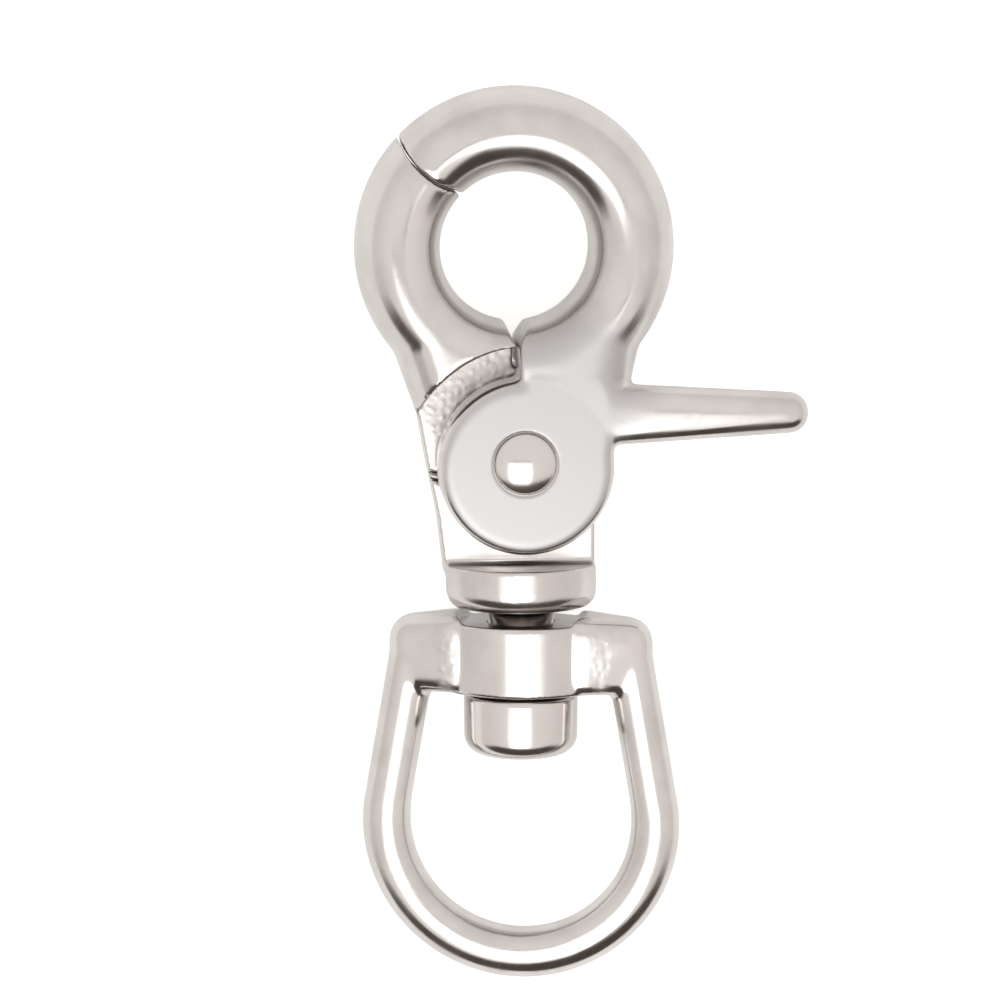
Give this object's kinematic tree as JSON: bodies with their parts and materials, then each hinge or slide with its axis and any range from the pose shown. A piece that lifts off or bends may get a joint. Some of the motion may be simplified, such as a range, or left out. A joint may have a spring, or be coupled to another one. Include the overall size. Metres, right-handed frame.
{
  "type": "scissor snap hook",
  "caption": "Polished stainless scissor snap hook with a thumb lever, sprung jaws that close in a ring, and a swivel strap eye",
  "frame": {"origin": "on the pivot axis, in the plane of the flat back that the hook lies on", "axes": "+Z out of the front, towards the rivet's domed head; +Y along the hook towards the ring; +X towards the thumb lever"},
  "size_m": [0.0453, 0.0908, 0.0123],
  "materials": {
    "polished_casting": "investment cast stainless steel, tumbled and polished bright",
    "turned_steel": "turned stainless steel, polished",
    "spring_wire": "drawn stainless spring wire"
  },
  "bodies": {
    "hook": {"fixed_jaw": "polished_casting", "pivot_rivet": "turned_steel", "torsion_spring": "spring_wire", "swivel_stem": "turned_steel"},
    "lever": {"lever_jaw": "polished_casting"},
    "eye": {"swivel_eye": "polished_casting"}
  },
  "joints": [
    {"name": "lever_pivot", "type": "hinge", "parent": "hook", "child": "lever", "pos_m": [0, 0, 0.0058], "axis": [0, 0, -1], "range_deg": [0, 32], "stiffness_Nm_per_rad": 0.25, "springref_deg": -28.65, "deforming": ["torsion_spring"]},
    {"name": "eye_swivel", "type": "hinge", "parent": "hook", "child": "eye", "pos_m": [0, -0.02, 0.0058], "axis": [0, 1, 0], "continuous": true}
  ]
}
